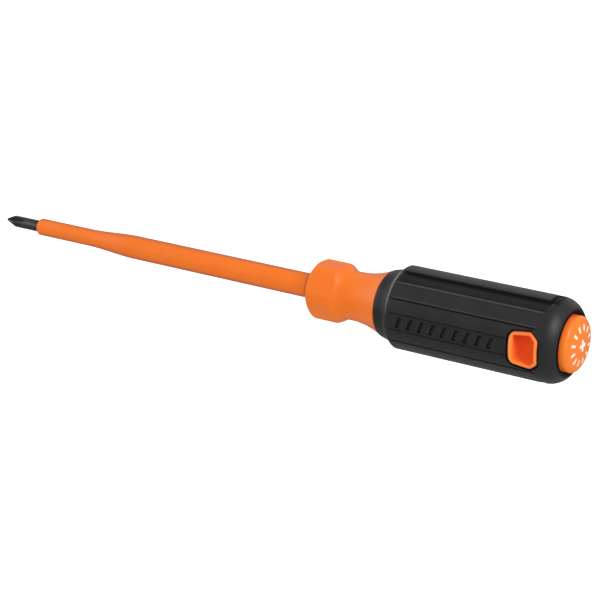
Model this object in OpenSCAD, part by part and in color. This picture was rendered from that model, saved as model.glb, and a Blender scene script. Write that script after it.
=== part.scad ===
// Insulated cross-point screwdriver with a two-material handle.
// Frame: +X along the tool's axis towards the handle's end, origin at the
// extreme tip of the blade, +Z up. The hang hole runs along Y and the marked
// panel faces -Y. Angles round the handle are measured from -Y towards +Z.

/* [Blade] */
// Blade rod diameter
blade_d = 4.76; // [4.2:0.02:5.2]
// Length of bare steel in front of the insulation
bare_len = 18.7; // [14:0.1:22]
// Length of the pointed cone at the tip
cone_len = 4.4; // [3.6:0.1:5.2]
// Diameter of the blunt end of the cone
point_d = 0.9; // [0.6:0.05:1.3]
// Radius of the grinding wheel that leaves each flute
flute_wheel_r = 42; // [34:1:55]
// Distance from the axis to a flute's root at the tip
flute_root = 0.5; // [0.36:0.02:0.6]
// Where the rod ends inside the handle
blade_end = 222; // [214:1:228]
// Where the anchor wings start
wing_x = 196; // [190:1:200]
// Length of the anchor wings
wing_len = 12; // [8:0.5:14]
// Tip to tip width of the anchor wings
wing_w = 9; // [7:0.2:10]
// Thickness of the anchor wings
wing_t = 2; // [1.4:0.1:2.6]

/* [Insulation] */
// Diameter of the slim front length of the sleeve
slim_d = 6.95; // [6.4:0.05:7.2]
// Where the slim length ends and the sleeve starts to widen
slim_end = 48.5; // [44:0.5:54]
// Where the sleeve reaches its full diameter
taper_end = 67; // [62:0.5:74]
// Full diameter of the sleeve
sleeve_d = 9.35; // [9.1:0.05:9.8]
// Radius of the sleeve's rounded front edge
nose_r = 0.7; // [0.3:0.05:0.9]
// Outside diameter of the warning layer
under_d = 7.1; // [6.6:0.05:7.4]
// Where the warning layer starts
under_start = 53; // [51:0.5:58]
// Length of the warning layer's tapered nose
under_nose = 13; // [8:0.5:15]
// How far the sleeve and warning layer run inside the collar
sleeve_end = 166; // [160:0.5:170]
// Diameter of the sleeve's buried length, a little under its full diameter
buried_d = 9; // [8.6:0.05:9.05]

/* [Collar] */
// Front end of the handle, which is also the shank's stated length
collar_x = 152.4; // [148:0.2:156]
// Radius over the collar's rounded corners
collar_r = 11.4; // [11.1:0.05:11.8]
// Distance from the axis to each of the collar's six flats
collar_flat = 10.65; // [10.3:0.05:11]
// Radius of the narrow neck behind the collar
neck_r = 9.2; // [8.7:0.05:9.5]
// Where the neck is narrowest
neck_x = 174; // [172.5:0.1:175]
// Radius of the neck's flare, seen from the side
flare_r = 33; // [28:0.5:36]

/* [Grip] */
// Front end of the rubber
grip_x = 188; // [187:0.1:189]
// Where the rubber reaches its full radius
crest_x = 195.4; // [195:0.1:196.5]
// Radius over the raised lands
land_r = 15.7; // [15.3:0.05:16]
// Radius of the smooth rear end of the rubber
rear_r = 15.45; // [15.2:0.05:15.6]
// Radius of the rounded shoulder at the rear
shoulder_r = 7.55; // [7.2:0.05:7.8]
// Where the shoulder's curve would end
grip_end = 262.6; // [262.2:0.1:263]
// Where the sloping gap between the rubber and the end button starts
notch_x = 260.3; // [260:0.1:261.2]
// Depth of the two pairs of wide grooves beside the top and bottom lands
groove_deep = 0.95; // [0.5:0.05:1.3]
// Half angle of the top and bottom lands
top_half = 14; // [11:0.5:16]
// Width of each wide groove, in degrees
groove_w = 18; // [14:0.5:20]
// Half angle of the stepped side area
side_half = 32.5; // [30:0.5:35]
// Depth of the stepped side area
side_deep = 0.3; // [0.15:0.05:0.5]
// Half angle of the marked panel
panel_half = 12; // [10:0.5:14]
// Further depth of the marked panel
panel_deep = 0.3; // [0.15:0.05:0.5]
// Where the lands end
land_end = 254; // [252.5:0.1:254.5]
// Where the wide grooves end, a little behind the lands
groove_end = 255.6; // [255.3:0.1:256.2]
// Where the marked panel ends, in front of the hang hole
panel_end = 242.8; // [242.3:0.1:243.4]

/* [Panel marks] */
// Number of plain slanted bars in the panel
mark_n = 9; // [5:1:10]
// Where the first bar stands
mark_x = 200.5; // [199:0.5:203]
// Distance from one bar to the next
mark_step = 4.6; // [4.2:0.1:4.6]
// Width of each bar
mark_w = 1.5; // [1:0.1:2]
// Depth of each bar
mark_deep = 0.35; // [0.2:0.05:0.5]

/* [Hang hole] */
// Front edge of the hole's rim
rim_x0 = 244.5; // [244.2:0.1:245]
// Rear edge of the hole's rim
rim_x1 = 255.2; // [254.8:0.1:255.6]
// Half height of the rim at its front edge
rim_front_h = 4.3; // [3.8:0.1:4.8]
// Half height of the rim behind its front corners
rim_near_h = 5.8; // [5.4:0.1:6]
// Greatest half height of the rim, near its rear corners
rim_h = 6.6; // [6.2:0.1:7]
// Half height of the rim's rear edge
rim_rear_h = 4.3; // [3.8:0.1:4.8]
// Width of the rim round the hole
rim_w = 1.1; // [0.8:0.05:1.3]
// Radius of the rim's crown, which stands a little above the rubber
rim_r = 15.75; // [15.6:0.05:15.9]

/* [End button] */
// Radius of the button at the end of the handle
button_r = 10.1; // [9.8:0.05:10.4]
// Radius of the button's rounded edge
edge_r = 2.85; // [2.4:0.05:3.2]
// How far outside the button's side the edge's curve would reach if it went on
edge_out = 0.4; // [0:0.05:0.6]
// Where the rounded edge meets the domed face
face_x = 264.5; // [264.3:0.1:264.8]
// Radius of the button's domed face
dome_r = 36; // [30:1:45]
// Rearmost point of the tool
overall = 265.35; // [265.2:0.05:265.6]
// Arm to arm width of the cross on the button
cross_w = 4.2; // [3.5:0.1:5]
// Width of each arm of the cross
cross_t = 1.3; // [0.9:0.1:1.6]
// Number of short plain strokes in the ring round the cross
dash_n = 12; // [6:1:16]
// Radius of the middle of the ring of strokes
dash_r = 6.3; // [5.4:0.1:6.4]
// Length of each stroke, measured away from the axis
dash_w = 2.3; // [0.6:0.1:2.4]
// Angle each stroke spans
dash_span = 9; // [5:1:18]
// Depth of the white infill
infill = 0.5; // [0.3:0.05:0.8]

/* [Hidden] */
$fn = 96;
eps = 0.5;
blade_r = blade_d / 2;
slim_r = slim_d / 2;
sleeve_r = sleeve_d / 2;
buried_r = buried_d / 2;
under_r = under_d / 2;
core_r = 12.2;
core_front_x = 192;
button_step_x = 254.5;
dome_x = overall - dome_r;
side_r = land_r - side_deep;
panel_r = side_r - panel_deep;
far = 20;

// Turns a profile drawn as (distance along the tool, radius) round the X axis.
module spin() {
    rotate([0, 90, 0]) rotate([0, 0, 180]) rotate_extrude()
        rotate([0, 0, 90]) mirror([0, 1, 0]) children();
}

// A sector of a ring round the X axis between two angles and two radii.
module sector(x0, x1, a0, a1, r0, r1) {
    rotate([-a1, 0, 0]) rotate([-90, 0, 0]) rotate([0, 90, 0])
        rotate_extrude(angle = a1 - a0)
            translate([r0, x0]) square([r1 - r0, x1 - x0]);
}

// ---- blade -----------------------------------------------------------------

module blade_blank() {
    spin() polygon([
        [0, 0], [0, point_d / 2], [0.25, point_d / 2 + 0.2], [cone_len, blade_r],
        [blade_end - 0.6, blade_r], [blade_end, blade_r - 0.6], [blade_end, 0]
    ]);
    translate([wing_x, -wing_w / 2, -wing_t / 2]) cube([wing_len, wing_w, wing_t]);
}

// One V-edged wheel pass: the groove is deepest at the tip and runs out behind.
module flute() {
    translate([0, 0, flute_root + flute_wheel_r]) rotate([90, 0, 0]) rotate_extrude()
        polygon([[flute_wheel_r, 0], [flute_wheel_r - 5, 5], [flute_wheel_r - 5, -5]]);
}

module blade() {
    color([0.10, 0.10, 0.11]) difference() {
        blade_blank();
        for (a = [45, 135, 225, 315]) rotate([a, 0, 0]) flute();
    }
}

// ---- insulation ------------------------------------------------------------

module under_profile(inner) {
    polygon([
        [under_start, inner], [under_start, blade_r + 0.15],
        [under_start + under_nose, under_r], [sleeve_end, under_r], [sleeve_end, inner]
    ]);
}

module inner_insulation() {
    color([0.93, 0.93, 0.90]) spin() under_profile(blade_r);
}

// The waste outside a rounded corner of a profile: the corner stands at (x, r),
// the arc has radius q, and dir is 1 for a rear corner and -1 for a front one.
module corner_waste(x, r, q, dir) {
    translate([x - dir * q, r - q]) difference() {
        mirror([dir < 0 ? 1 : 0, 0]) square([q + eps, q + eps]);
        circle(q);
    }
}

module outer_insulation() {
    color([0.96, 0.40, 0.08]) spin() difference() {
        polygon([
            [bare_len, 0], [bare_len, slim_r], [slim_end, slim_r], [taper_end, sleeve_r],
            [collar_x, sleeve_r], [collar_x, buried_r], [sleeve_end, buried_r], [sleeve_end, 0]
        ]);
        corner_waste(bare_len, slim_r, nose_r, -1);
        square([sleeve_end + eps, blade_r]);
        under_profile(0);
    }
}

// ---- handle core -----------------------------------------------------------

// Outline of the hang hole's rim, looking along the hole, grown by d.
module rim_outline(d) {
    for (side = [0, 1]) mirror([0, side, 0]) polygon([
        [rim_x0 - d, -eps], [rim_x0 - d, rim_front_h + d * 0.4],
        [rim_x0 + 1 - d * 0.4, rim_near_h + d * 0.9], [rim_x1 - 3.6, rim_h + d],
        [rim_x1 - 2.6 + d * 0.3, rim_h - 0.1 + d * 0.9],
        [rim_x1 + d, rim_rear_h + d * 0.4], [rim_x1 + d, -eps]
    ]);
}

module along_y(len) {
    translate([0, len, 0]) rotate([90, 0, 0]) linear_extrude(2 * len) children();
}

// Collar: a round body whose six flats stop the tool rolling.
module collar() {
    intersection() {
        spin() polygon([
            [collar_x, 0], [collar_x, 4.8], [collar_x + 0.6, 5.3], [collar_x + 1.4, 6],
            [collar_x + 2.3, 6.9], [collar_x + 5.4, 10.3], [collar_x + 6.1, 10.95],
            [collar_x + 6.8, 11.3], [collar_x + 7.5, collar_r], [167.3, collar_r],
            [168.1, collar_r - 0.2], [168.7, 10.8], [170.6, 9.7], [171.6, 9.35],
            [neck_x, neck_r], [neck_x, 0]
        ]);
        translate([collar_x - 1, 0, 0]) rotate([30, 0, 0]) rotate([0, 90, 0])
            cylinder(h = neck_x - collar_x + 2, r = collar_flat / cos(30), $fn = 6);
    }
}

// Neck and everything the rubber is moulded over, without the hole's rim.
module core_outer() {
    spin() difference() {
        polygon([
            [neck_x - 2, 0], [neck_x - 2, neck_r], [neck_x, neck_r],
            [neck_x, core_r + 2], [grip_x, core_r + 2], [grip_x, 10.6],
            [core_front_x, 10.6], [core_front_x + 1.6, core_r], [button_step_x, core_r],
            [button_step_x + 2.5, button_r], [grip_end - 1, button_r], [grip_end - 1, 0]
        ]);
        translate([neck_x, neck_r + flare_r]) circle(flare_r, $fn = 256);
    }
}

// The rim boss reaches from the core to just above the rubber, on both sides.
module rim_boss() {
    intersection() {
        along_y(far) rim_outline(0);
        spin() translate([rim_x0 - 2, 0]) square([rim_x1 - rim_x0 + 4, rim_r]);
        rear_body();
    }
}

// Rear envelope of the handle, grown a little so the rim's crown stands proud.
module rear_body() {
    spin() difference() {
        translate([rim_x0 - 3, 0]) square([grip_end - rim_x0 + 3, rim_r]);
        corner_waste(grip_end, rim_r, shoulder_r, 1);
    }
}

module dome() {
    spin() difference() {
        intersection() {
            translate([dome_x, 0]) circle(dome_r, $fn = 512);
            translate([grip_end - 2, 0]) square([10, button_r]);
        }
        corner_waste(face_x, button_r + edge_out, edge_r, 1);
    }
}

module button_marks() {
    difference() {
        union() {
            translate([250, -cross_w / 2, -cross_t / 2]) cube([20, cross_w, cross_t]);
            translate([250, -cross_t / 2, -cross_w / 2]) cube([20, cross_t, cross_w]);
            for (i = [0 : dash_n - 1]) {
                a = (i + 0.5) * 360 / dash_n;
                sector(250, 270, a - dash_span / 2, a + dash_span / 2,
                    dash_r - dash_w / 2, dash_r + dash_w / 2);
            }
        }
        spin() intersection() {
            translate([dome_x, 0]) circle(dome_r - infill, $fn = 512);
            translate([dome_x, 0]) square(dome_r);
        }
    }
}

module handle_core() {
    color([0.96, 0.40, 0.08]) difference() {
        union() {
            collar();
            core_outer();
            rim_boss();
            dome();
        }
        // Hole through the handle
        along_y(far) rim_outline(-rim_w);
        // Socket moulded round the blade, its wings and the two sleeves
        blade_blank();
        spin() translate([collar_x - 1, 0]) square([sleeve_end - collar_x + 1, buried_r]);
        button_marks();
    }
}

module tip_mark() {
    color([0.97, 0.97, 0.95]) intersection() {
        dome();
        button_marks();
    }
}

// ---- rubber grip -----------------------------------------------------------

module grip_outer() {
    spin() difference() {
        polygon([
            [grip_x, 0], [grip_x, 12.1], [grip_x + 0.9, 12.65], [grip_x + 2, 13.0],
            [grip_x + 4, 13.45], [grip_x + 5, 13.9], [grip_x + 5.9, 14.65],
            [grip_x + 6.7, 15.3], [crest_x, land_r], [land_end, land_r],
            [land_end, rear_r], [grip_end, rear_r], [grip_end, 0]
        ]);
        corner_waste(grip_end, rear_r, shoulder_r, 1);
        // Sloping inner side of the lip round the button
        polygon([
            [notch_x, 0], [notch_x, button_r], [notch_x + 3, button_r + 3], [notch_x + 3, 0]
        ]);
    }
}

// One slanted bar cut into the panel, looking from -Y.
module panel_bar(x) {
    translate([x, 0, 0]) rotate([0, 20, 0]) translate([-mark_w / 2, -far, -2.2])
        cube([mark_w, far, 4.4]);
}

module panel_marks() {
    difference() {
        for (i = [0 : mark_n - 1]) panel_bar(mark_x + i * mark_step);
        spin() square([300, panel_r - mark_deep]);
    }
}

module grip_grooves() {
    for (side = [0, 180]) {
        for (a = [top_half, -top_half - groove_w])
            sector(grip_x - 1, groove_end, side + 90 + a, side + 90 + a + groove_w,
                land_r - groove_deep, far);
        sector(grip_x - 1, land_end, side - side_half, side + side_half, side_r, far);
        sector(crest_x, panel_end, side - panel_half, side + panel_half, panel_r, far);
    }
}

module grip() {
    color([0.17, 0.17, 0.18]) difference() {
        grip_outer();
        grip_grooves();
        panel_marks();
        core_outer();
        dome();
        rim_boss();
        along_y(far) rim_outline(-rim_w);
    }
}

// ---- output ----------------------------------------------------------------

blade();
inner_insulation();
outer_insulation();
handle_core();
grip();
tip_mark();
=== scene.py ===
"""Looks of the insulated screwdriver: smooth moulded shapes, materials, light and camera.

Lengths in the constants are millimetres in the CAD frame: s runs along +X from the
blade's tip, r is the distance from the axis and psi is the angle round the handle,
in degrees from -Y towards +Z.
"""
import math

import bmesh
import bpy
from mathutils import Matrix, Vector


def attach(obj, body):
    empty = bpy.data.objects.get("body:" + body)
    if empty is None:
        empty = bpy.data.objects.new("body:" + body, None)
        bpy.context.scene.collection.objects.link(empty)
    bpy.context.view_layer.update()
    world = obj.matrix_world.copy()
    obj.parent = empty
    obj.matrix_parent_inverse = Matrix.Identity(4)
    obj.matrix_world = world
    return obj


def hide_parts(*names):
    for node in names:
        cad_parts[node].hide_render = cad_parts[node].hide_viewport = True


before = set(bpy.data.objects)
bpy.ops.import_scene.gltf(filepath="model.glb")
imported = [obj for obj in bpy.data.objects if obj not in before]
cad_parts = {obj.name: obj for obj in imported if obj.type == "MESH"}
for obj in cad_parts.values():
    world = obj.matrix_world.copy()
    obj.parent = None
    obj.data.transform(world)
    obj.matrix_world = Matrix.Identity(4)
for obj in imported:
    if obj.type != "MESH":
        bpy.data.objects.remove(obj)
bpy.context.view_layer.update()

MM = 0.001

# ---- sizes, from the CAD ---------------------------------------------------

BLADE_R = 2.38
BLADE_END = 222.0
BARE_LEN = 18.7
CONE_LEN = 4.4
POINT_R = 0.45
FLUTE_ROOT = 0.5
FLUTE_WHEEL_R = 42.0

SLIM_R = 3.475
SLIM_END = 48.5
TAPER_END = 67.0
SLEEVE_R = 4.675
NOSE_R = 0.7
SLEEVE_END = 166.0

COLLAR_X = 152.4
COLLAR_R = 11.4
COLLAR_FLAT = 10.65
NECK_R = 9.2
NECK_X = 174.0
FLARE_R = 33.0

GRIP_X = 188.0
LAND_R = 15.7
REAR_R = 15.45
SHOULDER_R = 7.55
GRIP_END = 262.6
CORE_R = 12.2
CORE_FRONT_X = 192.0
BUTTON_STEP_X = 254.5
LAND_END = 254.0
GROOVE_END = 255.6
PANEL_END = 242.8

GROOVE_DEEP = 0.95
TOP_HALF = 14.0
GROOVE_W = 18.0
SIDE_HALF = 32.5
SIDE_DEEP = 0.3
PANEL_HALF = 12.0
PANEL_DEEP = 0.3
PANEL_X = 196.2
GROOVE_X = 195.8
LIP_TURN = 30.6

BAR_N = 9
BAR_X, BAR_STEP = 200.5, 4.6
BAR_HALF_W, BAR_HALF_H, BAR_LEAN = 0.75, 2.1, 0.8
BAR_DEEP = 0.38
PANEL_R = LAND_R - SIDE_DEEP - PANEL_DEEP

RIM_X0, RIM_X1 = 244.5, 255.2
RIM_FRONT_H, RIM_NEAR_H = 4.3, 5.8
RIM_H, RIM_REAR_H = 6.6, 4.3
SEAM_W, SEAM_DEEP = 0.95, 0.5

BUTTON_R = 10.1
EDGE_OUT = 0.4
EDGE_R = 2.85
NOTCH_X = 260.3
FACE_X = 264.5
DOME_R = 36.0
DOME_X = 265.35 - DOME_R
CROSS_W, CROSS_T = 4.2, 1.3
DASH_N, DASH_R, DASH_W, DASH_SPAN = 12, 6.3, 2.3, 9.0


# ---- small maths -----------------------------------------------------------

def smooth01(t):
    t = min(1.0, max(0.0, t))
    return t * t * (3 - 2 * t)


def soft_min(a, b, k):
    """The smaller of a and b, with the corner between them rounded over k."""
    h = max(0.0, min(1.0, 0.5 + 0.5 * (b - a) / k))
    return b + (a - b) * h - k * h * (1 - h)


def lerp_table(table, x):
    """A smooth curve through a table of (x, value) pairs, flat outside it."""
    if x <= table[0][0]:
        return table[0][1]
    for i in range(len(table) - 1):
        x0, y0 = table[i]
        x1, y1 = table[i + 1]
        if x <= x1:
            m0 = slope_at(table, i)
            m1 = slope_at(table, i + 1)
            h = x1 - x0
            t = (x - x0) / h
            return ((2 * t**3 - 3 * t**2 + 1) * y0 + (t**3 - 2 * t**2 + t) * h * m0
                    + (3 * t**2 - 2 * t**3) * y1 + (t**3 - t**2) * h * m1)
    return table[-1][1]


def slope_at(table, i):
    """Monotone slope at a table's entry, so the curve never overshoots."""
    if i == 0 or i == len(table) - 1:
        j = 0 if i == 0 else len(table) - 2
        return (table[j + 1][1] - table[j][1]) / (table[j + 1][0] - table[j][0])
    d0 = (table[i][1] - table[i - 1][1]) / (table[i][0] - table[i - 1][0])
    d1 = (table[i + 1][1] - table[i][1]) / (table[i + 1][0] - table[i][0])
    return 0.0 if d0 * d1 <= 0 else 2 * d0 * d1 / (d0 + d1)


def arc(cx, cr, radius, a0, a1, n):
    """Points (s, r) on an arc, angles in degrees from +s towards +r."""
    out = []
    for i in range(n + 1):
        a = math.radians(a0 + (a1 - a0) * i / n)
        out.append((cx + radius * math.cos(a), cr + radius * math.sin(a)))
    return out


def spread(x0, x1, step):
    """Evenly spaced values from x0 to x1, no further apart than step."""
    n = max(1, math.ceil(abs(x1 - x0) / step))
    return [x0 + (x1 - x0) * i / n for i in range(n + 1)]


def merged(values, gap):
    """Sorted values with near repeats dropped."""
    out = []
    for v in sorted(values):
        if not out or v - out[-1] > gap:
            out.append(v)
    return out


# ---- meshes ----------------------------------------------------------------

def at(s, r, psi):
    a = math.radians(psi)
    return (s * MM, -r * math.cos(a) * MM, r * math.sin(a) * MM)


def finish_mesh(name, verts, faces, sharp_deg):
    """A new object, smooth shaded up to edges sharper than sharp_deg."""
    me = bpy.data.meshes.new(name)
    me.from_pydata(verts, [], faces)
    me.validate()
    ob = bpy.data.objects.new(name, me)
    bpy.context.scene.collection.objects.link(ob)
    tidy_mesh(ob, sharp_deg)
    return ob


def tidy_mesh(ob, sharp_deg):
    """Joins doubled points, turns the faces outwards and sets the shading."""
    bm = bmesh.new()
    bm.from_mesh(ob.data)
    bmesh.ops.remove_doubles(bm, verts=bm.verts, dist=1e-7)
    bmesh.ops.recalc_face_normals(bm, faces=bm.faces)
    bm.to_mesh(ob.data)
    bm.free()
    for p in ob.data.polygons:
        p.use_smooth = True
    ob.data.set_sharp_from_angle(angle=math.radians(sharp_deg))


def lathe(name, path, angles, radius=None, closed=False, sharp_deg=40):
    """A surface swept round the axis. path is a list of (s, r); radius(s, r, psi), if
    given, returns the (s, r) that a path point takes at psi. closed joins the path's ends."""
    verts, faces, rows = [], [], []
    for s, r in path:
        if r <= 1e-6:
            rows.append([len(verts)] * len(angles))
            verts.append(at(s, 0, 0))
            continue
        row = []
        for psi in angles:
            q = radius(s, r, psi) if radius else (s, r)
            row.append(len(verts))
            verts.append(at(q[0], q[1], psi))
        rows.append(row)
    n = len(angles)
    last = len(rows) if closed else len(rows) - 1
    for i in range(last):
        a, b = rows[i], rows[(i + 1) % len(rows)]
        for j in range(n):
            k = (j + 1) % n
            f = [a[j], a[k], b[k], b[j]]
            f = [v for m, v in enumerate(f) if v != f[m - 1]]
            if len(set(f)) > 2:
                faces.append(f)
    return finish_mesh(name, verts, faces, sharp_deg)


def cut(ob, tool, sharp_deg, operation="DIFFERENCE"):
    """Applies an exact boolean to ob and removes the tool."""
    mod = ob.modifiers.new("cut", "BOOLEAN")
    mod.operation = operation
    mod.solver = "EXACT"
    mod.object = tool
    dg = bpy.context.evaluated_depsgraph_get()
    me = bpy.data.meshes.new_from_object(ob.evaluated_get(dg))
    old = ob.data
    ob.modifiers.clear()
    ob.data = me
    bpy.data.meshes.remove(old)
    bpy.data.objects.remove(tool, do_unlink=True)
    tidy_mesh(ob, sharp_deg)
    return ob


def prism_faces(n, base=0):
    """The sides and both ends of a prism whose two loops of n points start at base."""
    sides = [[base + j, base + (j + 1) % n, base + n + (j + 1) % n, base + n + j]
             for j in range(n)]
    return sides + [list(range(base, base + n)), list(range(base + n, base + 2 * n))]


def join(name, parts):
    """One object from several."""
    with bpy.context.temp_override(active_object=parts[0], selected_editable_objects=parts,
                                   selected_objects=parts, object=parts[0]):
        bpy.ops.object.join()
    parts[0].name = name
    return parts[0]


def install(ob, node, material):
    """Gives a piece its material and puts it in the place of a CAD node."""
    ob.data.materials.clear()
    ob.data.materials.append(material)
    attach(ob, "root")
    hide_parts(node)
    return ob


# ---- blade -----------------------------------------------------------------

def blade_radius(s, r, psi):
    """The round rod with four V flutes left by a grinding wheel."""
    root = FLUTE_ROOT + FLUTE_WHEEL_R - math.sqrt(max(0.0, FLUTE_WHEEL_R**2 - s * s))
    if s >= FLUTE_WHEEL_R or r < POINT_R * 0.99:
        return s, r
    alpha = abs(psi % 90 - 45)
    wall = math.cos(math.radians(alpha)) - math.sin(math.radians(alpha))
    if wall < 1e-3:
        return s, r
    return s, soft_min(r, root / wall, 0.12)


def build_blade(mat):
    path = [(0.0, 0.0), (0.0, POINT_R * 0.6), (0.06, POINT_R * 0.85), (0.2, POINT_R + 0.12)]
    path += [(s, POINT_R + 0.1 + (BLADE_R - POINT_R - 0.1) * (s - 0.2) / (CONE_LEN - 0.2))
             for s in spread(0.3, CONE_LEN - 0.25, 0.15)]
    path += [(CONE_LEN, BLADE_R - 0.05), (CONE_LEN + 0.3, BLADE_R)]
    path += [(s, BLADE_R) for s in spread(CONE_LEN + 0.6, 16, 0.25)]
    path += [(30.0, BLADE_R), (BLADE_END, BLADE_R), (BLADE_END, 0.0)]
    angles = [a * 2.0 for a in range(180)]
    return install(lathe("blade_rod", path, angles, blade_radius, sharp_deg=35), "blade", mat)


# ---- sleeve ----------------------------------------------------------------

def build_sleeve(mat):
    path = [(SLEEVE_END, BLADE_R), (BARE_LEN + 0.15, BLADE_R), (BARE_LEN, BLADE_R + 0.15)]
    path += arc(BARE_LEN + NOSE_R, SLIM_R - NOSE_R, NOSE_R, 180, 90, 10)
    table = [(20.0, SLIM_R), (SLIM_END - 2, SLIM_R), (SLIM_END + 2, SLIM_R + 0.14),
             (TAPER_END - 2, SLEEVE_R - 0.12), (TAPER_END + 1.5, SLEEVE_R), (160.0, SLEEVE_R)]
    path += [(s, lerp_table(table, s)) for s in spread(20.0, 80, 0.75)]
    path += [(s, SLEEVE_R) for s in spread(84, 150, 6)]
    path += [(SLEEVE_END, SLEEVE_R)]
    angles = [a * 3.75 for a in range(96)]
    sleeve = lathe("insulating_sleeve", path, angles, closed=True)
    return install(sleeve, "outer_insulation", mat)


# ---- core: collar, neck, hang-hole rim and button --------------------------

# (s, r) points picked along the outline measured in the photo
COLLAR_TABLE = [
    (COLLAR_X, 4.75), (COLLAR_X + 0.5, 5.05), (COLLAR_X + 1.4, 5.8), (COLLAR_X + 2.3, 6.75),
    (COLLAR_X + 5.0, 10.1), (COLLAR_X + 5.7, 10.95), (COLLAR_X + 6.1, 11.28),
    (COLLAR_X + 6.6, COLLAR_R), (167.4, COLLAR_R),
    (168.1, 11.3), (168.8, 10.85), (169.8, 10.2), (170.7, 9.65), (171.6, 9.35),
    (172.6, 9.22), (NECK_X, NECK_R)]


def collar_radius(s, r, psi):
    """Six soft flats round the collar, their middles at psi 30, 90, 150 and so on."""
    if s > NECK_X or s < COLLAR_X:
        return s, r
    off = abs(psi % 60 - 30)
    flat = COLLAR_FLAT / math.cos(math.radians(off))
    return s, soft_min(r, flat, 0.25)


def neck_r(s):
    """Radius of the neck, which flares on an arc towards the rubber."""
    return NECK_R + FLARE_R - math.sqrt(FLARE_R**2 - (s - NECK_X)**2)


def core_path():
    """The collar, the neck and the body inside the rubber."""
    path = [(SLEEVE_END, 0.0), (SLEEVE_END, SLEEVE_R), (COLLAR_X + 0.1, SLEEVE_R),
            (COLLAR_X, SLEEVE_R + 0.05)]
    path += [(s, lerp_table(COLLAR_TABLE, s)) for s in spread(COLLAR_X + 0.1, NECK_X, 0.3)]
    path += [(s, neck_r(s)) for s in spread(NECK_X + 0.5, GRIP_X - 0.35, 0.5)]
    path += [(GRIP_X - 0.1, neck_r(GRIP_X - 0.1) - 0.05), (GRIP_X + 0.15, 11.7),
             (GRIP_X + 0.6, 10.6), (CORE_FRONT_X, 10.6), (CORE_FRONT_X + 1.6, CORE_R - 0.05)]
    path += [(s, CORE_R - 0.05) for s in spread(200, 252, 4)]
    path += [(BUTTON_STEP_X, CORE_R - 0.05), (BUTTON_STEP_X + 2.5, BUTTON_R - 0.02)]
    return path


def dome_s(r, lift=0.0):
    """Where the button's dome stands at radius r, raised by lift."""
    return DOME_X + math.sqrt((DOME_R + lift)**2 - r * r)


def button_path():
    """The button's straight side, softened corner, rounded edge and domed face."""
    soft = 0.45
    edge_x, edge_r = FACE_X - EDGE_R, BUTTON_R + EDGE_OUT - EDGE_R
    turn = math.degrees(math.asin((BUTTON_R - edge_r - soft) / (EDGE_R - soft)))
    corner_x = edge_x + (EDGE_R - soft) * math.cos(math.radians(turn))
    path = [(s, BUTTON_R) for s in spread(NOTCH_X - 1.5, corner_x - 0.2, 0.8)]
    path += arc(corner_x, BUTTON_R - soft, soft, 90, turn, 4)
    path += arc(edge_x, edge_r, EDGE_R, turn - 3, 2, 12)
    path += [(dome_s(r), r) for r in spread(edge_r - 0.15, 0.4, 0.4)]
    path += [(DOME_X + DOME_R, 0.0)]
    return path


def rim_outline(grow):
    """Corner points (x, z) of the hang hole's rim, grown outwards."""
    g = grow
    half = [(RIM_X0 - g, 0.0), (RIM_X0 - g, RIM_FRONT_H + g * 0.4),
            (RIM_X0 + 1.0 - g * 0.4, RIM_NEAR_H + g * 0.9), (RIM_X1 - 3.6, RIM_H + g),
            (RIM_X1 - 2.6 + g * 0.3, RIM_H - 0.1 + g * 0.9),
            (RIM_X1 + g, RIM_REAR_H + g * 0.4), (RIM_X1 + g, 0.0)]
    return half + [(x, -z) for x, z in reversed(half[1:-1])]


def rounded_loop(points, corner, n):
    """A closed outline with its corners rounded by short curves, n points each."""
    out = []
    m = len(points)
    for i in range(m):
        p = Vector(points[i])
        a, b = Vector(points[i - 1]), Vector(points[(i + 1) % m])
        ra = min(corner, (a - p).length * 0.48)
        rb = min(corner, (b - p).length * 0.48)
        p0, p1 = p + (a - p).normalized() * ra, p + (b - p).normalized() * rb
        for k in range(n + 1):
            t = k / n
            out.append(p0 * (1 - t)**2 + p * 2 * t * (1 - t) + p1 * t * t)
    return out


def rim_loop(grow):
    """The rim's outline with round corners and extra points along its long sides."""
    loop = rounded_loop(rim_outline(grow), 1.0 + min(0.0, grow) * 0.25, 6)
    plain = rounded_loop(rim_outline(0), 1.0, 6)
    out = []
    for i, p in enumerate(loop):
        k = (i + 1) % len(loop)
        n = max(1, math.ceil((plain[k] - plain[i]).length / 0.9))
        out += [p.lerp(loop[k], m / n) for m in range(n)]
    return out


def surface_y(x, z, r_max):
    """Distance from the XZ plane to the handle's surface, shoulder included."""
    r = r_max
    if x > GRIP_END - SHOULDER_R:
        dx = min(SHOULDER_R, x - (GRIP_END - SHOULDER_R))
        r = r_max - SHOULDER_R + math.sqrt(SHOULDER_R**2 - dx * dx)
    return math.sqrt(max(0.0, r * r - z * z))


RIM_SECTION = [
    (0.02, -2.0), (0.02, -0.32), (-0.04, -0.08), (-0.2, 0.10), (-0.5, 0.17), (-0.78, 0.10),
    (-0.98, -0.12), (-1.1, -0.45), (-1.14, -1.0), (-1.2, -2.5), (-1.3, -6.0)]


def ring(name, sections):
    """A closed ring round the hole. sections are (side, growth, height) in order."""
    verts, faces = [], []
    for side, grow, lift in sections:
        for p in rim_loop(grow):
            y = surface_y(p.x, p.y, REAR_R) + lift
            verts.append((p.x * MM, side * y * MM, p.y * MM))
    rows = len(sections)
    count = len(verts) // rows
    for i in range(rows):
        a, b = i * count, (i + 1) % rows * count
        for j in range(count):
            k = (j + 1) % count
            faces.append([a + j, a + k, b + k, b + j])
    return finish_mesh(name, verts, faces, 50)


def build_rim():
    """The rim's tube: RIM_SECTION runs from under the rubber over the crown and inwards."""
    near = [(-1, grow, lift) for grow, lift in RIM_SECTION]
    far = [(1, grow, lift) for grow, lift in reversed(RIM_SECTION)]
    return ring("rim", near + far)


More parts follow.
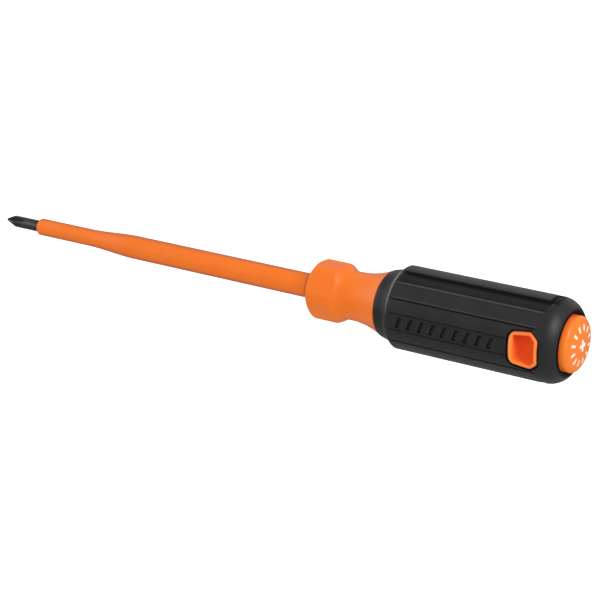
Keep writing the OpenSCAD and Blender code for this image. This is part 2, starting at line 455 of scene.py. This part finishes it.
def cut_seam(grip):
    """A shallow channel in the rubber round the rim, on both sides."""
    for side in (-1, 1):
        outline = [(side, SEAM_W, -SEAM_DEEP), (side, SEAM_W, 2.0),
                   (side, -0.6, 2.0), (side, -0.6, -SEAM_DEEP)]
        cut(grip, ring("tool", outline), 50)


def hole_tool(grow):
    """A prism through the handle, shaped like the rim and grown outwards."""
    loop = rounded_loop(rim_outline(grow), 1.0, 6)
    verts = [(p.x * MM, y * MM, p.y * MM) for y in (-20, 20) for p in loop]
    return finish_mesh("tool", verts, prism_faces(len(loop)), 40)


def build_core(mat):
    angles = [a * 2.5 for a in range(144)]
    core = lathe("handle_core_body", core_path() + button_path(), angles, collar_radius,
                 sharp_deg=45)
    cut(core, hole_tool(-0.3), 45)
    core = join("handle_core_body", [core, build_rim()])
    return install(core, "handle_core", mat)


# ---- white marks on the button ---------------------------------------------

def cross_outline():
    """The cross, with its corners slightly rounded."""
    a, b = CROSS_W / 2, CROSS_T / 2
    pts = [(a, b), (b, b), (b, a), (-b, a), (-b, b), (-a, b),
           (-a, -b), (-b, -b), (-b, -a), (b, -a), (b, -b), (a, -b)]
    return rounded_loop(pts, 0.18, 3)


def dash_outline(mid_deg):
    """A short dash of the ring, its ends rounded."""
    inner, outer, half = DASH_R - DASH_W / 2, DASH_R + DASH_W / 2, DASH_SPAN / 2
    pts = []
    for r, angles in ((outer, spread(-half, half, 3.5)), (inner, spread(half, -half, 3.5))):
        for a in angles:
            t = math.radians(mid_deg + a)
            pts.append((r * math.cos(t), r * math.sin(t)))
    return rounded_loop(pts, 0.25, 2)


def mark_prisms():
    """Straight prisms along X for the cross and each dash, before they meet the dome."""
    loops = [cross_outline()]
    loops += [dash_outline((i + 0.5) * 360 / DASH_N) for i in range(DASH_N)]
    verts, faces = [], []
    for loop in loops:
        faces += prism_faces(len(loop), len(verts))
        for s in (262.0, 268.0):
            verts += [(s * MM, p.x * MM, p.y * MM) for p in loop]
    return finish_mesh("tool", verts, faces, 30)


def build_marks(mat):
    """White infill whose face follows the dome."""
    top, under = 0.02, -0.4
    rings = spread(0.35, 8.0, 0.35)
    path = [(dome_s(0, under), 0.0)] + [(dome_s(r, under), r) for r in rings]
    path += [(dome_s(r, top), r) for r in reversed(rings)] + [(dome_s(0, top), 0.0)]
    shell = lathe("button_marks", path, [a * 3.75 for a in range(96)])
    cut(shell, mark_prisms(), 30, "INTERSECT")
    return install(shell, "tip_mark", mat)


# ---- grip ------------------------------------------------------------------

# (s, r) points picked along the outline measured in the photo
FRONT_TABLE = [
    (GRIP_X, 12.15), (GRIP_X + 0.35, 12.5), (GRIP_X + 1.1, 12.78), (GRIP_X + 2, 13.0),
    (GRIP_X + 3.4, 13.32), (GRIP_X + 4.4, 13.62), (GRIP_X + 5.3, 13.98),
    (GRIP_X + 6.1, 14.65), (GRIP_X + 6.8, 15.3), (GRIP_X + 7.2, 15.58),
    (GRIP_X + 7.7, 15.68), (GRIP_X + 8.6, LAND_R)]


def band(psi, centre, half, edge):
    """1 inside half degrees of centre, 0 outside, blended over edge degrees."""
    off = abs((psi - centre + 180) % 360 - 180)
    return 1 - smooth01((off - half + edge / 2) / edge)


def span(s, s0, s1, edge):
    """1 between s0 and s1, 0 outside, blended over edge behind each."""
    return smooth01((s - s0) / edge) * (1 - smooth01((s - s1) / edge))


def grip_depth(s, psi):
    """How far the surface lies under the lands' radius at a point."""
    depth = 0.0
    along = 1 - smooth01((s - LAND_END + 0.9) / 0.9)
    groove = SIDE_DEEP + (GROOVE_DEEP - SIDE_DEEP) * smooth01((s - GROOVE_X) / 3.0)
    groove *= 1 - smooth01((s - GROOVE_END + 0.8) / 0.8)
    for top in (90, -90):
        for sign in (1, -1):
            mid = top + sign * (TOP_HALF + GROOVE_W / 2)
            depth = max(depth, groove * band(psi, mid, GROOVE_W / 2, 2.0))
        # Behind its end each top land drops to the smooth rear of the rubber
        drop = smooth01((s - LAND_END) / 0.35) * (1 - smooth01((s - 255.8) / 1.4))
        depth = max(depth, 0.65 * drop * band(psi, top, TOP_HALF + 2, 3.0))
    for side in (0, 180):
        step = SIDE_DEEP * along * band(psi, side, SIDE_HALF, 1.3)
        step += PANEL_DEEP * span(s, PANEL_X, PANEL_END, 0.8) * band(psi, side, PANEL_HALF, 1.3)
        depth = max(depth, step)
    return depth


def grip_radius(s, r, psi):
    """Sinks the rubber's outer surface into the grooves, the side areas and the panels."""
    if r < CORE_R + 0.3 and s > GRIP_X + 0.01:
        return s, r
    if s < GRIP_X + 5 or s > GROOVE_END + 1.8:
        return s, r
    deep = grip_depth(s, psi)
    if deep < 1e-4:
        return s, r
    return s, soft_min(r, LAND_R - deep, 0.10)


def key_angles():
    """Angles with extra lines where the grooves and steps turn."""
    out = [a * 2.5 for a in range(144)]
    for base in (0, 90, 180, 270):
        if base in (90, 270):
            marks = [TOP_HALF, TOP_HALF + GROOVE_W]
        else:
            marks = [SIDE_HALF, PANEL_HALF]
        for m in marks:
            for sign in (1, -1):
                for d in (-1.5, -1.1, -0.7, -0.3, 0.1, 0.5, 0.9, 1.3):
                    out.append((base + sign * (m + d)) % 360)
    return merged(out, 0.12)


def grip_path():
    """The rubber's closed section: outside, shoulder, lip round the button and bore."""
    outer = [(GRIP_X + 0.02, 11.6), (GRIP_X, 11.95)]
    stations = spread(GRIP_X, GRIP_X + 10, 0.25) + spread(GRIP_X + 10, LAND_END - 2, 1.6)
    stations += spread(PANEL_END - 0.6, PANEL_END + 1.2, 0.2)
    stations += spread(LAND_END - 1.4, GROOVE_END + 0.6, 0.15)
    stations += spread(GROOVE_END + 0.8, GROOVE_END + 1.8, 0.25)
    shoulder_x = GRIP_END - SHOULDER_R
    for s in merged(stations, 0.08):
        r = lerp_table(FRONT_TABLE, s)
        if s > LAND_END - 1:
            r = LAND_R + (REAR_R - LAND_R) * smooth01((s - LAND_END + 1) / 3.0)
        if s > shoulder_x:
            r += math.sqrt(SHOULDER_R**2 - (s - shoulder_x)**2) - SHOULDER_R
        outer.append((s, r))
    start = math.degrees(math.acos((GROOVE_END + 2.0 - shoulder_x) / SHOULDER_R))
    outer += arc(shoulder_x, REAR_R - SHOULDER_R, SHOULDER_R, start, LIP_TURN, 20)
    lip_s, lip_r = outer[-1]
    outer += [(lip_s + 0.09, lip_r - 0.17), (lip_s + 0.09, lip_r - 0.34),
              (lip_s - 0.02, lip_r - 0.49), (lip_s - 0.3, lip_r - 0.78),
              (NOTCH_X + 0.1, BUTTON_R + 0.08), (NOTCH_X - 0.2, BUTTON_R + 0.02)]
    inner = [(BUTTON_STEP_X + 2.5, BUTTON_R), (BUTTON_STEP_X, CORE_R)]
    inner += [(s, CORE_R) for s in spread(250, 194, 8)]
    inner += [(CORE_FRONT_X, 10.7), (GRIP_X + 0.6, 10.7)]
    return outer + inner


def bar_tool(x, side):
    """A prism that presses one slanted bar into the panel on the side -1 or 1."""
    w, h, lean = BAR_HALF_W, BAR_HALF_H, BAR_LEAN
    pts = [Vector((x - w - lean, -h)), Vector((x + w - lean, -h)),
           Vector((x + w + lean, h)), Vector((x - w + lean, h))]
    loop = rounded_loop(pts, 0.35, 3)
    verts = []
    for y in (PANEL_R - BAR_DEEP, 20.0):
        for p in loop:
            drop = PANEL_R - math.sqrt(PANEL_R**2 - p.y**2)
            verts.append((p.x * MM, side * (y - drop) * MM, p.y * MM))
    return finish_mesh("tool", verts, prism_faces(len(loop)), 30)


def press_bars(grip):
    """A plain row of slanted bars in both marked panels."""
    for side in (-1, 1):
        for i in range(BAR_N):
            cut(grip, bar_tool(BAR_X + BAR_STEP * i, side), 35)


def build_grip(mat):
    grip = lathe("cushion_grip", grip_path(), key_angles(), grip_radius, closed=True,
                 sharp_deg=50)
    cut(grip, hole_tool(0.12), 50)
    cut_seam(grip)
    press_bars(grip)
    return install(grip, "grip", mat)


# ---- materials -------------------------------------------------------------

# How much of the orange's colour glows, and how much is lit by the scene. Real plastic
# doesn't glow: both were set against colours measured in the photo.
GLOW = 0.55
PIGMENT = 0.37


def srgb(r, g, b):
    """A colour given in 8-bit sRGB, as linear RGBA."""
    def lin(c):
        c /= 255
        return c / 12.92 if c <= 0.04045 else ((c + 0.055) / 1.055) ** 2.4
    return (lin(r), lin(g), lin(b), 1.0)


class Nodes:
    """A short way to write a material's node tree."""

    def __init__(self, name):
        self.mat = bpy.data.materials.new(name)
        self.mat.use_nodes = True
        self.tree = self.mat.node_tree
        self.bsdf = self.tree.nodes["Principled BSDF"]
        self.where = self.add("ShaderNodeTexCoord").outputs["Object"]
        axes = self.add("ShaderNodeSeparateXYZ")
        self.link(self.where, axes.inputs[0])
        self.x, self.y, self.z = axes.outputs

    def add(self, kind, **values):
        n = self.tree.nodes.new(kind)
        for k, v in values.items():
            if hasattr(n, k):
                setattr(n, k, v)
            else:
                n.inputs[k.replace("_", " ")].default_value = v
        return n

    def link(self, a, b):
        self.tree.links.new(a, b)

    def noise(self, scale, detail=2.0, rough=0.5, stretch=None):
        n = self.add("ShaderNodeTexNoise", Scale=scale, Detail=detail, Roughness=rough)
        src = self.where
        if stretch:
            m = self.add("ShaderNodeMapping")
            m.inputs["Scale"].default_value = stretch
            self.link(src, m.inputs["Vector"])
            src = m.outputs["Vector"]
        self.link(src, n.inputs["Vector"])
        return n.outputs["Fac"]

    def ramp(self, fac, stops):
        n = self.add("ShaderNodeValToRGB")
        els = n.color_ramp.elements
        while len(els) < len(stops):
            els.new(0.5)
        for e, (pos, col) in zip(els, stops):
            e.position = pos
            e.color = col if len(col) == 4 else (*col, 1.0)
        self.link(fac, n.inputs["Fac"])
        return n.outputs["Color"]

    def span(self, fac, lo, hi):
        """lo where fac is 0 and hi where it is 1."""
        n = self.add("ShaderNodeMapRange")
        n.inputs["To Min"].default_value = lo
        n.inputs["To Max"].default_value = hi
        self.link(fac, n.inputs["Value"])
        return n.outputs["Result"]

    def maths(self, operation, *values):
        n = self.add("ShaderNodeMath", operation=operation)
        for value, sock in zip(values, n.inputs):
            if isinstance(value, float):
                sock.default_value = value
            else:
                self.link(value, sock)
        return n.outputs[0]

    def ranged(self, value, low, high):
        """0 where value is low and 1 where it is high."""
        n = self.add("ShaderNodeMapRange")
        n.inputs["From Min"].default_value = low
        n.inputs["From Max"].default_value = high
        self.link(value, n.inputs["Value"])
        return n.outputs["Result"]

    def window(self, value, start, full, fall, end):
        """Rises from start to full and falls from fall to end, all in mm."""
        rise = self.ranged(value, start * MM, full * MM)
        return self.maths("MULTIPLY", rise, self.ranged(value, end * MM, fall * MM))

    def mix(self, fac, a, b):
        n = self.add("ShaderNodeMix")
        n.data_type = "RGBA"
        if isinstance(fac, float):
            n.inputs["Factor"].default_value = fac
        else:
            self.link(fac, n.inputs["Factor"])
        for value, sock in ((a, n.inputs[6]), (b, n.inputs[7])):
            if isinstance(value, tuple):
                sock.default_value = value
            else:
                self.link(value, sock)
        return n.outputs[2]

    def bump(self, layers):
        """layers is a list of (height socket, strength, distance in mm)."""
        last = None
        for height, strength, dist in layers:
            b = self.add("ShaderNodeBump")
            b.inputs["Strength"].default_value = strength
            b.inputs["Distance"].default_value = dist * MM
            self.link(height, b.inputs["Height"])
            if last is not None:
                self.link(last, b.inputs["Normal"])
            last = b.outputs["Normal"]
        self.link(last, self.bsdf.inputs["Normal"])

    def set(self, **values):
        for k, v in values.items():
            sock = self.bsdf.inputs[k.replace("_", " ")]
            if isinstance(v, bpy.types.NodeSocket):
                self.link(v, sock)
            else:
                sock.default_value = v


def edge_wear_and_highlight(n, low, high):
    """0 on flats and 1 on convex edges."""
    return n.ranged(n.add("ShaderNodeNewGeometry").outputs["Pointiness"], low, high)


def grazing(n, low, high):
    """0 where the surface faces the eye and 1 near its outline."""
    weight = n.add("ShaderNodeLayerWeight", Blend=0.5)
    return n.ranged(weight.outputs["Facing"], low, high)


def shelter(n, distance_mm, low, high):
    """1 in creases and hollows, 0 on open surfaces."""
    ao = n.add("ShaderNodeAmbientOcclusion", samples=8, Distance=distance_mm * MM)
    return n.ranged(ao.outputs["AO"], high, low)


def hole_masks(n):
    """(crown, inside): the crown of the hang hole's rim, which gets a painted highlight, and the
    hole's inner walls, which get painted shade.
    """
    within = n.maths("COMPARE", n.x, (RIM_X0 + RIM_X1) / 2 * MM)
    within.node.inputs[2].default_value = ((RIM_X1 - RIM_X0) / 2 + 0.1) * MM
    deep = n.ranged(n.maths("ABSOLUTE", n.y), (REAR_R - 0.55) * MM, (REAR_R - 2.65) * MM)
    crown = n.maths("MULTIPLY", within, n.maths("SUBTRACT", 1.0, deep))
    return crown, n.maths("MULTIPLY", within, deep)


def orange_plastic(name, base, deep, rough, edge):
    """Orange plastic, with a glow that brings it near the photo's almost unshaded orange.

    edge is (low, high, amount) of a painted shade: a darker tint where the surface is seen at a
    grazing angle. It was set for the photo's view and covers the whole sleeve seen end-on.
    """
    n = Nodes(name)
    cloud = n.noise(70, 3, 0.55)
    fine = n.noise(2600, 2, 0.5)
    colour = n.ramp(cloud, [(0.3, deep), (0.7, base)])
    # Painted shade: a darker, browner orange towards the outline, where the surface is seen at a
    # grazing angle.
    colour = n.mix(n.span(grazing(n, edge[0], edge[1]), 0.0, edge[2]), colour, srgb(180, 82, 28))
    crown, walls = hole_masks(n)
    # Painted highlight: the button's rounded edge and face are a lighter orange.
    button = n.ranged(n.x, (FACE_X - 3.3) * MM, (FACE_X - 1.5) * MM)
    colour = n.mix(n.maths("MULTIPLY", button, 0.4), colour, srgb(255, 140, 54))
    # Painted highlight on the crown of the hang hole's rim.
    colour = n.mix(n.maths("MULTIPLY", crown, 0.8), colour, srgb(255, 148, 72))
    # Painted shade: in creases and on the hang hole's inner walls the orange turns a darker red,
    # darkest high in the hole, and glows less.
    inside = n.maths("MAXIMUM", shelter(n, 6.0, 0.2, 0.7), walls)
    wall = n.mix(n.ranged(n.z, 4 * MM, -4 * MM), srgb(212, 68, 36), srgb(240, 104, 44))
    colour = n.mix(inside, colour, wall)
    n.set(Base_Color=n.mix(n.span(inside, PIGMENT, 0.8), (0, 0, 0, 1), colour),
          Specular_IOR_Level=n.span(grazing(n, 0.5, 0.9), 0.18, 0.03),
          Roughness=n.span(n.noise(420, 3, 0.6), rough - 0.05, rough + 0.08),
          Emission_Color=colour, Emission_Strength=n.span(inside, GLOW, 0.3))
    n.bump([(cloud, 0.12, 0.25), (fine, 0.10, 0.03)])
    return n.mat


# (angle from the panel's middle, tone) round a quarter of the grip, set to follow the light
# and dark lines measured round the photo's grip. They are painted light and shade: the lighter
# lines are painted highlights along the lands' edges and the darker bands are painted shade at
# the steps and on the groove floors. 0.5 is bare rubber, less is darker and more is lighter.
GROOVE_LIGHT_AND_SHADE = [
    (0.0, 0.5), (11.2, 0.5), (11.8, 0.2), (12.6, 0.2), (13.3, 0.5), (30.0, 0.5), (30.8, 0.1),
    (31.8, 0.1), (32.5, 0.55), (33.6, 0.55), (34.6, 0.5), (51.0, 0.5), (52.2, 0.36),
    (53.2, 0.5), (54.4, 0.56), (56.0, 0.56), (57.2, 0.15), (59.4, 0.15), (60.6, 0.28),
    (70.5, 0.34), (73.5, 0.3), (76.5, 0.12), (78.0, 0.14), (80.5, 0.46), (83.0, 0.5)]


def rubber_light_and_shade(n):
    """Painted light and shade along the lands, from the table above, with painted shade and a
    painted highlight at the grip's two ends.
    """
    turn = n.maths("ARCTAN2", n.maths("ABSOLUTE", n.z), n.maths("ABSOLUTE", n.y))
    stops = [(angle / 90, (tone, tone, tone)) for angle, tone in GROOVE_LIGHT_AND_SHADE]
    grooves = n.maths("SUBTRACT", n.ramp(n.ranged(turn, 0.0, math.pi / 2), stops), 0.5)
    along = n.window(n.x, GROOVE_X - 0.3, GROOVE_X + 1.7, LAND_END - 0.5, LAND_END + 1.0)
    tone = n.maths("MULTIPLY_ADD", along, grooves, 0.5)

    top = n.ranged(turn, math.radians(72), math.radians(75))
    behind = n.window(n.x, LAND_END - 0.1, LAND_END + 0.2, LAND_END + 2.6, LAND_END + 4.2)
    flange = n.ranged(n.x, (GRIP_X + 6.2) * MM, (GRIP_X + 5.4) * MM)
    crest = n.window(n.x, GRIP_X + 6.0, GRIP_X + 6.6, GRIP_X + 7.1, GRIP_X + 7.7)
    upper = n.ranged(n.z, 1 * MM, 11 * MM)
    radius = n.maths("SQRT", n.maths("ADD", n.maths("MULTIPLY", n.y, n.y),
                                     n.maths("MULTIPLY", n.z, n.z)))
    rear = n.ranged(n.x, (GRIP_END - 5.1) * MM, (GRIP_END - 4.1) * MM)
    lip = n.ranged(radius, 12.4 * MM, 12.0 * MM)
    # Painted shade behind the ends of the top lands, on the front flange and round the lip at the
    # button; a painted highlight along the upper part of the front crest.
    for mask, amount in ((n.maths("MULTIPLY", top, behind), -0.42), (flange, -0.12),
                         (n.maths("MULTIPLY", crest, upper), 0.3),
                         (n.maths("MULTIPLY", rear, lip), -0.4)):
        tone = n.maths("MULTIPLY_ADD", mask, amount, tone)
    return tone


def black_rubber():
    n = Nodes("cushion_rubber")
    cloud = n.noise(55, 3, 0.6)
    grain = n.noise(3200, 3, 0.65)
    pores = n.noise(900, 2, 0.5)
    colour = n.ramp(cloud, [(0.3, srgb(24, 24, 26)), (0.72, srgb(31, 31, 33))])
    # Painted highlight: the convex edges of the lands are lighter.
    wear_and_highlight = edge_wear_and_highlight(n, 0.52, 0.60)
    colour = n.mix(n.span(wear_and_highlight, 0.0, 0.3), colour, srgb(70, 70, 74))
    tone = rubber_light_and_shade(n)
    # Painted highlight: lighter where the tone is above 0.5.
    colour = n.mix(n.ranged(tone, 0.5, 1.0), colour, srgb(126, 126, 130))
    # Painted shade: almost black in creases and where the tone is below 0.5.
    shade_mask = n.maths("MAXIMUM", shelter(n, 1.6, 0.5, 0.97), n.ranged(tone, 0.5, 0.1))
    colour = n.mix(n.span(shade_mask, 0.0, 0.95), colour, srgb(6, 6, 7))
    shine = n.maths("MULTIPLY", n.span(shade_mask, 0.25, 0.06), n.span(grazing(n, 0.66, 0.95), 1.0, 0.5))
    n.set(Base_Color=colour, Roughness=n.span(pores, 0.40, 0.52), Specular_IOR_Level=shine)
    n.bump([(pores, 0.10, 0.10), (grain, 0.22, 0.05)])
    return n.mat


def black_steel():
    n = Nodes("blackened_steel")
    cloud = n.noise(260, 4, 0.6)
    lines = n.noise(900, 3, 0.6, stretch=(0.06, 1.0, 1.0))
    wear_and_highlight = edge_wear_and_highlight(n, 0.53, 0.62)
    colour = n.ramp(cloud, [(0.3, srgb(36, 36, 40)), (0.7, srgb(58, 58, 60))])
    # Painted reflection: lighter and darker streaks running along the rod.
    streaks = n.noise(480, 2, 0.5, stretch=(0.05, 1.0, 1.0))
    colour = n.mix(n.ranged(streaks, 0.52, 0.70), colour, srgb(92, 92, 95))
    colour = n.mix(n.ranged(streaks, 0.46, 0.32), colour, srgb(16, 16, 18))
    # Painted shade: almost black in the flutes and creases.
    colour = n.mix(n.span(shelter(n, 1.4, 0.45, 0.95), 0.0, 0.9), colour, srgb(8, 8, 9))
    # Worn edges: bare steel shows lighter on the convex edges.
    colour = n.mix(n.span(wear_and_highlight, 0.0, 0.8), colour, srgb(160, 160, 160))
    n.set(Base_Color=colour, Metallic=0.75, Roughness=n.span(lines, 0.34, 0.52))
    n.bump([(lines, 0.18, 0.04), (cloud, 0.08, 0.05)])
    return n.mat


def white_infill():
    n = Nodes("white_infill")
    cloud = n.noise(400, 3, 0.6)
    n.set(Base_Color=n.ramp(cloud, [(0.3, srgb(234, 216, 196)), (0.7, srgb(244, 229, 211))]),
          Roughness=n.span(n.noise(1500), 0.4, 0.55))
    n.bump([(cloud, 0.1, 0.03)])
    return n.mat


def pale_layer():
    n = Nodes("warning_layer")
    cloud = n.noise(180, 3, 0.6)
    n.set(Base_Color=n.ramp(cloud, [(0.3, srgb(226, 224, 214)), (0.7, srgb(242, 240, 232))]),
          Roughness=n.span(n.noise(700), 0.38, 0.5))
    n.bump([(cloud, 0.1, 0.05)])
    return n.mat


def floor_paint():
    """Pale paint, lifted to white where the camera looks straight at it."""
    n = Nodes("studio_floor")
    path = n.add("ShaderNodeLightPath")
    n.set(Base_Color=n.ramp(n.noise(6, 2), [(0.3, (0.50, 0.50, 0.50)), (0.7, (0.53, 0.53, 0.53))]),
          Roughness=0.9, Emission_Color=(1, 1, 1, 1),
          Emission_Strength=n.span(path.outputs["Is Camera Ray"], 0.0, 0.85))
    return n.mat


# ---- stage -----------------------------------------------------------------

# The photo's camera: its place, right and up come from a perspective fit to the tool's
# outline. The fit leaves the lens open between about 108 and 150 mm; 108 was picked.
CAMERA_AT = (0.5074, -0.5271, 0.2347)
CAMERA_RIGHT = (0.8291, 0.5589, -0.0134)
CAMERA_UP = (-0.1874, 0.3005, 0.9352)
CAMERA_LENS = 108.0
FLOOR_Z = -0.24
FILL = 0.86
CEILING = 0.72
LIGHT_AIM = (0.22, 0.0, 0.0)


def add_camera():
    data = bpy.data.cameras.new("camera")
    data.lens, data.sensor_width = CAMERA_LENS, 36.0
    data.clip_start, data.clip_end = 0.01, 50
    cam = bpy.data.objects.new("camera", data)
    bpy.context.scene.collection.objects.link(cam)
    right, up = Vector(CAMERA_RIGHT).normalized(), Vector(CAMERA_UP)
    back = right.cross(up).normalized()
    up = back.cross(right)
    m = Matrix((right, up, back)).transposed().to_4x4()
    m.translation = Vector(CAMERA_AT)
    cam.matrix_world = m
    bpy.context.scene.camera = cam


def studio_world():
    """White to the camera. To everything else an even white tent, a little dimmer overhead."""
    world = bpy.data.worlds.new("studio")
    world.use_nodes = True
    tree = world.node_tree
    fill = tree.nodes["Background"]
    fill.inputs["Strength"].default_value = FILL
    where = tree.nodes.new("ShaderNodeTexCoord")
    axes = tree.nodes.new("ShaderNodeSeparateXYZ")
    ramp = tree.nodes.new("ShaderNodeValToRGB")
    ramp.color_ramp.elements[0].position = 0.25
    ramp.color_ramp.elements[0].color = (1, 1, 1, 1)
    ramp.color_ramp.elements[1].position = 0.95
    ramp.color_ramp.elements[1].color = (CEILING, CEILING, CEILING, 1)
    tree.links.new(where.outputs["Generated"], axes.inputs[0])
    tree.links.new(axes.outputs["Z"], ramp.inputs["Fac"])
    tree.links.new(ramp.outputs["Color"], fill.inputs["Color"])
    seen = tree.nodes.new("ShaderNodeBackground")
    seen.inputs["Strength"].default_value = 1.0
    seen.inputs["Color"].default_value = (1, 1, 1, 1)
    path = tree.nodes.new("ShaderNodeLightPath")
    mix = tree.nodes.new("ShaderNodeMixShader")
    tree.links.new(path.outputs["Is Camera Ray"], mix.inputs[0])
    tree.links.new(fill.outputs[0], mix.inputs[1])
    tree.links.new(seen.outputs[0], mix.inputs[2])
    tree.links.new(mix.outputs[0], tree.nodes["World Output"].inputs["Surface"])
    return world


def softbox(name, direction, distance, size, power, size_y=None):
    """A soft area light that looks at the handle from a direction."""
    aim = Vector(LIGHT_AIM)
    data = bpy.data.lights.new(name, "AREA")
    data.shape = "RECTANGLE" if size_y else "SQUARE"
    data.size = size
    if size_y:
        data.size_y = size_y
    data.energy = power
    ob = bpy.data.objects.new(name, data)
    ob.location = aim + Vector(direction).normalized() * distance
    ob.rotation_mode = "QUATERNION"
    ob.rotation_quaternion = (aim - ob.location).to_track_quat("-Z", "Y")
    bpy.context.scene.collection.objects.link(ob)


def add_stage():
    bpy.ops.mesh.primitive_plane_add(size=30, location=(0.2, 0, FLOOR_Z))
    floor = bpy.context.object
    floor.name = "studio_floor"
    floor.data.materials.append(floor_paint())
    scene = bpy.context.scene
    scene.world = studio_world()
    softbox("end_box", (0.70, -0.27, 0.66), 1.0, 0.26, 9.0, 0.62)
    softbox("front_box", (-0.93, -0.22, 0.25), 1.2, 0.8, 4.0)
    scene.view_settings.view_transform = "Standard"
    scene.view_settings.look = "None"


# ---- put it together -------------------------------------------------------

def main():
    sleeve_mat = orange_plastic("sleeve_plastic", srgb(247, 122, 36), srgb(243, 117, 30), 0.36,
                                (0.38, 0.75, 1.0))
    core_mat = orange_plastic("core_plastic", srgb(247, 123, 38), srgb(243, 118, 32), 0.34,
                              (0.55, 0.9, 0.8))
    steel = black_steel()
    build_blade(steel)
    build_sleeve(sleeve_mat)
    build_core(core_mat)
    build_grip(black_rubber())
    build_marks(white_infill())
    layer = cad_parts["inner_insulation"]
    layer.data.materials.clear()
    layer.data.materials.append(pale_layer())
    add_stage()
    add_camera()


main()
bpy.context.view_layer.update()
